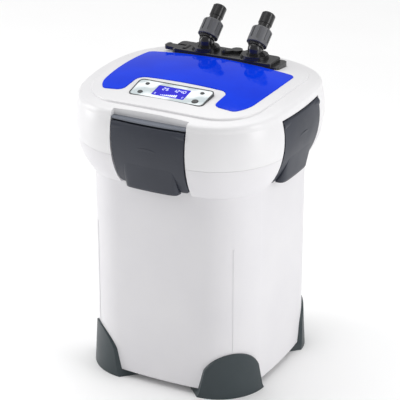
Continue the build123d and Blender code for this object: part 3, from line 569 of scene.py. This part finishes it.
# %% A hood on each clip
for side, x, y in (("front", 0, -1), ("right", 1, 0), ("back", 0, 1), ("left", -1, 0)):
    clip = "clip_" + side
    hood = clip + "_hood"
    mesh = hood_mesh(hood, clip, Vector((x, y, 0)))
    add_piece(hood, mesh, slate_grey, clip)
    print(hood, "faces:", len(mesh.polygons))

# %% [markdown]
# The front clip has a flat grey flange over its hinge, which closes the slot in the
# white head from above. Its grey is a lighter copy of the clip's slate grey, as painted
# light on its top face. It belongs to the head and stays still when the clip opens, so
# it starts just above the circle that the clip's top edge sweeps round the hinge pin.

# %% Flange over the front hinge
FLANGE_STEPS = ((8.2, 0.0), (9.8, 0.0), (10.4, 0.6))  # height over the pin, and bevel
FLANGE_FRONT, FLANGE_BACK, FLANGE_PARTS = 4.6, -6.3, 24  # out from the pin, and points

low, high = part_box("clip_pin_front")
hinge_u = -(low.y + high.y) / 2
hinge_z = (low.z + high.z) / 2
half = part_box("clip_front")[1].x + 1.2 * MM
shape = bmesh.new()
rings = []
for z, bevel in FLANGE_STEPS:
    ring = []
    for k in range(FLANGE_PARTS + 1):
        x = half * (2 * k / FLANGE_PARTS - 1)
        u = hinge_u + (FLANGE_FRONT - bevel) * MM - x * x / BOW
        ring.append(shape.verts.new((x, -u, hinge_z + z * MM)))
    u = hinge_u + FLANGE_BACK * MM
    ring += [shape.verts.new((x, -u, hinge_z + z * MM)) for x in (half, -half)]
    rings.append(ring)
shape.faces.new(rings[0])
shape.faces.new(rings[-1])
for lower, upper in zip(rings, rings[1:]):
    for k in range(len(lower)):
        n = (k + 1) % len(lower)
        shape.faces.new((lower[k], lower[n], upper[n], upper[k]))
flange = add_piece("hinge_flange", closed_mesh("hinge_flange", shape, False), flange_painted_lit_grey,
                   "housing")
print("flange faces:", len(flange.data.polygons))

# %% [markdown]
# ## Studio
#
# Small appliances are shown in a white studio: a pale floor that runs out of view, a
# broad soft light on each side, a hazy sun from above, and a pale world that fills the
# shadows. All of them are large, so the shadow under the head stays soft.

# %% Floor and light
scene = bpy.context.scene
floor_mesh = bpy.data.meshes.new("floor")
reach = 6.0
floor_mesh.from_pydata([(-reach, -reach, 0), (reach, -reach, 0), (reach, reach, 0), (-reach, reach, 0)],
                       [], [(0, 1, 2, 3)])
floor = bpy.data.objects.new("floor", floor_mesh)
scene.collection.objects.link(floor)
floor_finish = new_finish("studio_floor", (0.93, 0.93, 0.93), roughness=0.6)
tint(floor_finish, cloud(floor_finish, 3.0), (0.92, 0.92, 0.92), (0.94, 0.94, 0.94))
floor_mesh.materials.append(floor_finish)

world = bpy.data.worlds.new("studio")
scene.world = world
world.use_nodes = True
world.node_tree.nodes["Background"].inputs["Color"].default_value = (1.0, 1.0, 1.0, 1.0)
world.node_tree.nodes["Background"].inputs["Strength"].default_value = 0.45


def soft_light(name, place, aim, wide, tall, power):
    """A large area light at place, turned towards aim."""
    lamp = bpy.data.lights.new(name, "AREA")
    lamp.shape = "RECTANGLE"
    lamp.size = wide
    lamp.size_y = tall
    lamp.energy = power
    holder = bpy.data.objects.new(name, lamp)
    holder.location = place
    holder.rotation_euler = (Vector(aim) - Vector(place)).to_track_quat("-Z", "Y").to_euler()
    scene.collection.objects.link(holder)
    return holder


middle = (cad_box[0] + cad_box[1]) / 2
soft_light("left", (-1.7, -0.5, 0.75), middle, 0.7, 1.3, 13.0)
soft_light("right", (1.8, -0.1, 0.8), middle, 0.7, 1.3, 12.0)
sky = bpy.data.lights.new("sky", "SUN")
sky.energy = 1.7
sky.angle = radians(70)
sky_holder = bpy.data.objects.new("sky", sky)
sky_holder.rotation_euler = (radians(-14), radians(-10), 0.0)
scene.collection.objects.link(sky_holder)
scene.view_settings.view_transform = "Standard"
print("lights:", 3)

# %% [markdown]
# ## Camera
#
# The camera stands to the front and a little to the right, about 24 degrees above the
# horizon, with a long lens from almost two and a half metres away, so that uprights stay nearly
# parallel. A very small shift places the filter in the frame.

# %% Camera
turned = radians(27.679)
raised = radians(23.89)
far = 2.4
aim = Vector((0.0, 0.0, 0.2))
lens = bpy.data.cameras.new("camera")
lens.sensor_width = 36.0
lens.lens = 164.37
lens.shift_x = -0.00301
lens.shift_y = 0.03277
camera = bpy.data.objects.new("camera", lens)
camera.location = aim + far * Vector((sin(turned) * cos(raised), -cos(turned) * cos(raised), sin(raised)))
camera.rotation_euler = (aim - camera.location).to_track_quat("-Z", "Y").to_euler()
scene.collection.objects.link(camera)
scene.camera = camera
print("camera at", [round(c, 3) for c in camera.location])
